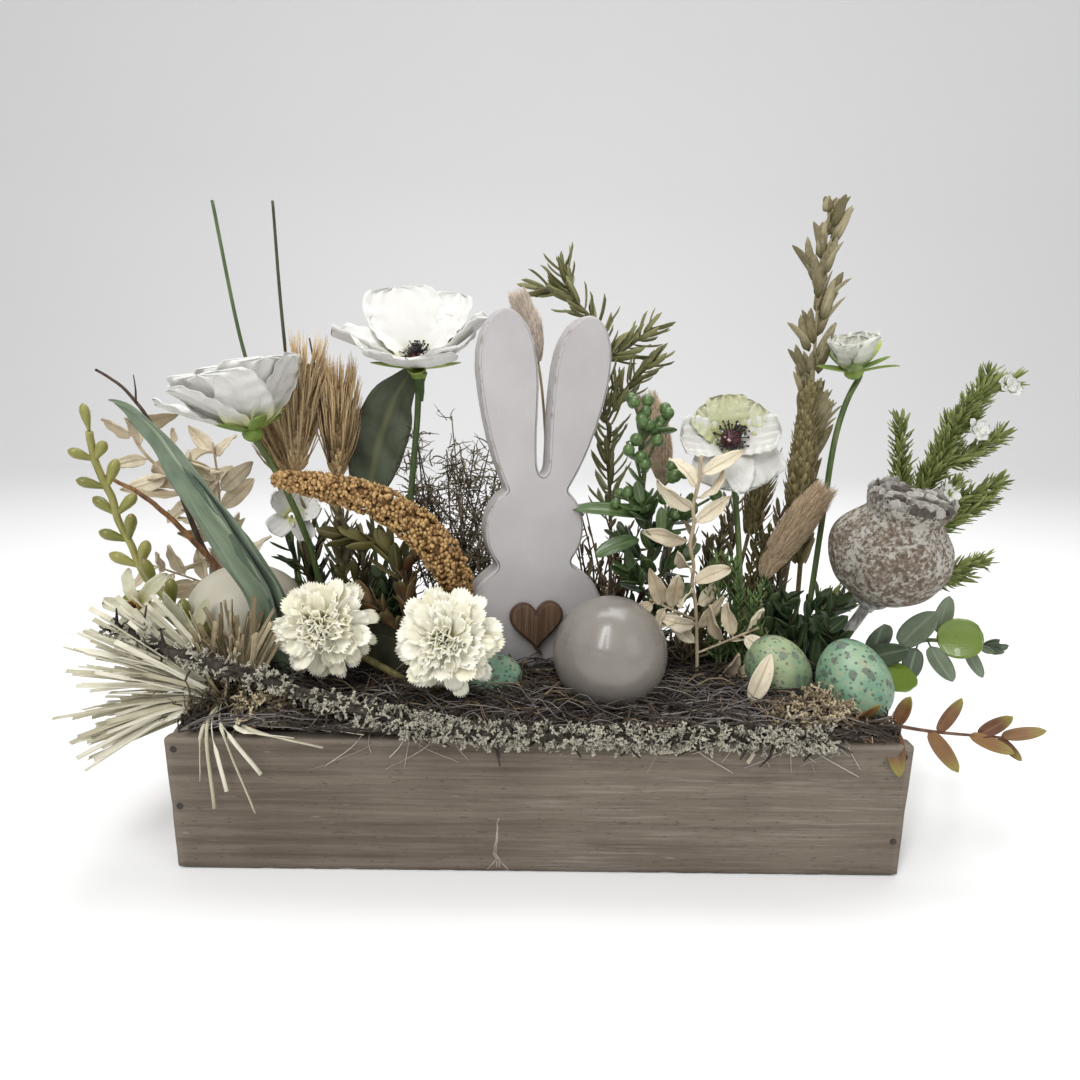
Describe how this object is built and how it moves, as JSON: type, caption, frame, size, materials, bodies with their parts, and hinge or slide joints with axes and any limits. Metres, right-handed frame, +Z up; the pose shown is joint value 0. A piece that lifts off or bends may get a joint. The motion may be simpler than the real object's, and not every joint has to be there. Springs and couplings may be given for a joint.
{
  "type": "floral table centerpiece",
  "caption": "Rectangular wooden planter with foam and moss holding silk flowers, dried grasses, leaf sprays, eggs, a glossy ball and a painted rabbit cut-out.",
  "frame": {"origin": "centre of the planter's underside", "axes": "+Z up, +X along the planter to the viewer's right, +Y away from the front board that carries the branch"},
  "size_m": [0.6009, 0.1601, 0.377],
  "materials": {
    "weathered_planks": "weathered grey-brown boards with a thin white wash, dry and matt",
    "nail_steel": "darkened nail heads set flush",
    "floral_foam": "dry green floral foam, hidden under the moss",
    "moss_and_fibre": "brown moss and nest fibre, matt",
    "white_paint_board": "white painted board, satin, with worn brown edges",
    "walnut_heart": "brown wood heart, darker at its cut edge",
    "plain_dowel": "plain wooden pick, hidden",
    "taupe_gloss": "glossy taupe ball",
    "cream_shell": "cream egg shell, satin",
    "speckled_shell": "green-blue shell with brown speckles, satin",
    "dried_pod": "grey-brown dried seed capsule with a white wash",
    "green_stem": "coated artificial stems, green",
    "olive_stem": "coated artificial stems, olive",
    "white_petals": "white silk-like petals with fine creases",
    "dark_stamens": "dark red flower centres",
    "cream_petals": "cream petals, yellowish in the depths",
    "dried_grain": "dried wheat and grass ears, straw coloured",
    "golden_millet": "golden granular seed spike",
    "soft_grass_heads": "soft sand-coloured hairs",
    "pale_straw": "pale cut straws",
    "blue_green_leaf": "blue-green fabric leaf",
    "dark_leaf": "dark olive fabric leaves",
    "green_sprays": "green moulded sprays",
    "yellow_green_sprig": "yellow-green moulded sprig",
    "bleached_leaves": "bleached dried leaves",
    "red_brown_leaves": "red-brown and olive leaves",
    "dry_twigs": "dry twigs and lichen-covered branch"
  },
  "bodies": {
    "root": {"anemone_centre": "dark_stamens", "anemone_petals": "white_petals", "anemone_stem": "green_stem", "arching_twig": "dry_twigs", "back_board": "weathered_planks", "base_board": "weathered_planks", "bleached_ruscus_left": "bleached_leaves", "bleached_ruscus_right": "bleached_leaves", "boxwood_berries": "green_sprays", "broad_leaf": "dark_leaf", "brown_leaf_spray": "red_brown_leaves", "bunny_cutout": "white_paint_board", "bunny_heart": "walnut_heart", "bunny_pick": "plain_dowel", "bunny_tail_back": "soft_grass_heads", "bunny_tail_centre": "soft_grass_heads", "bunny_tail_right": "soft_grass_heads", "dark_oval_leaf": "dark_leaf", "dry_heather": "dry_twigs", "eucalyptus": "green_sprays", "floral_foam": "floral_foam", "front_board": "weathered_planks", "glossy_ball": "taupe_gloss", "grass_stem_left": "green_sprays", "lance_leaf": "blue_green_leaf", "left_carnation_head": "cream_petals", "left_carnation_stem": "olive_stem", "left_end_board": "weathered_planks", "left_poppy_petals": "white_petals", "left_poppy_stem": "green_stem", "lichen_branch": "dry_twigs", "middle_carnation_head": "cream_petals", "middle_carnation_stem": "olive_stem", "middle_poppy_centre": "dark_stamens", "middle_poppy_petals": "white_petals", "middle_poppy_stem": "green_stem", "millet_spike": "golden_millet", "moss_bed": "moss_and_fibre", "nail_front_left_lower": "nail_steel", "nail_front_left_upper": "nail_steel", "nail_front_right_lower": "nail_steel", "nail_front_right_upper": "nail_steel", "narcissus": "cream_petals", "oat_panicle": "dried_grain", "poppy_bud": "white_petals", "poppy_pod": "dried_pod", "red_leaf_twig": "red_brown_leaves", "right_end_board": "weathered_planks", "rosemary_back": "green_sprays", "rosemary_right": "green_sprays", "speckled_egg_middle": "speckled_shell", "speckled_egg_right_inner": "speckled_shell", "speckled_egg_right_outer": "speckled_shell", "straw_bundle": "pale_straw", "succulent_sprig": "yellow_green_sprig", "wheat_left_1": "dried_grain", "wheat_left_2": "dried_grain", "wheat_right_1": "dried_grain", "wheat_right_2": "dried_grain", "white_egg": "cream_shell"}
  },
  "joints": []
}
